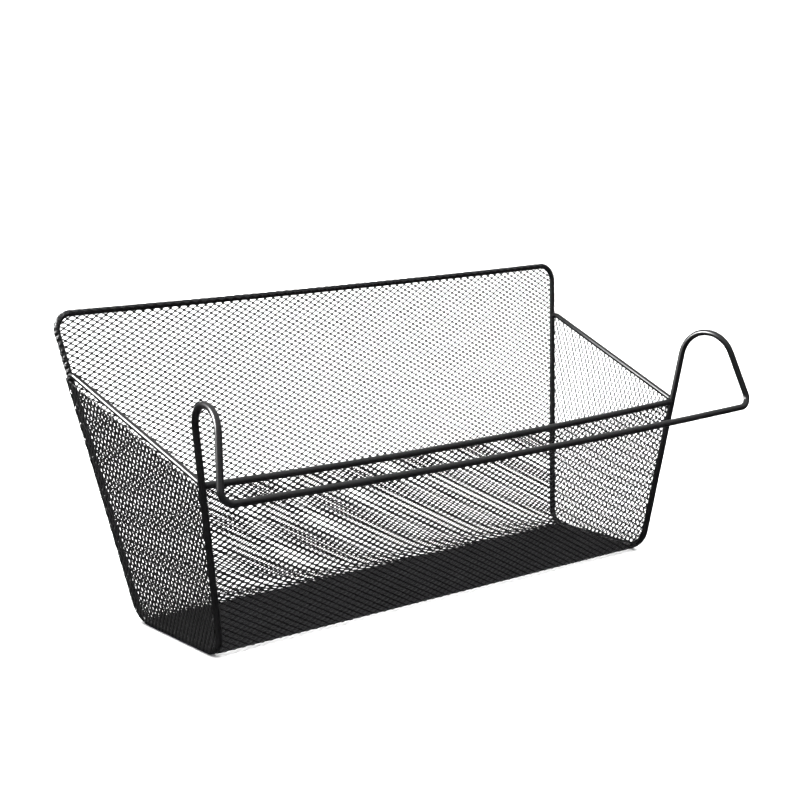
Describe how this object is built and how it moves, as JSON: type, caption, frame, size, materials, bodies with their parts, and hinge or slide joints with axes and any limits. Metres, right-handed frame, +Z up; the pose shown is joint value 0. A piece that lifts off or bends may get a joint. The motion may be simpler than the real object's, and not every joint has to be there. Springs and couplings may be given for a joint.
{
  "type": "hanging file rack",
  "caption": "Wire-framed mesh basket with a tall panel and a hook and bar frame that hangs it over a board edge.",
  "frame": {"origin": "middle of the bottom of the rack's box, on the surface that its base wires rest on", "axes": "+X along the rack's length, -Y towards the hooks and their bar, +Y towards the tall panel, +Z up"},
  "size_m": [0.3912, 0.1742, 0.1727],
  "materials": {
    "coated_wire": "satin black powder coat",
    "coated_mesh": "satin black powder coat"
  },
  "bodies": {
    "root": {"hook_rod": "coated_wire", "rim_rod": "coated_wire", "back_rail": "coated_wire", "left_side_rail": "coated_wire", "right_side_rail": "coated_wire", "folded_sheet": "coated_mesh", "left_side_sheet": "coated_mesh", "right_side_sheet": "coated_mesh"}
  },
  "joints": []
}
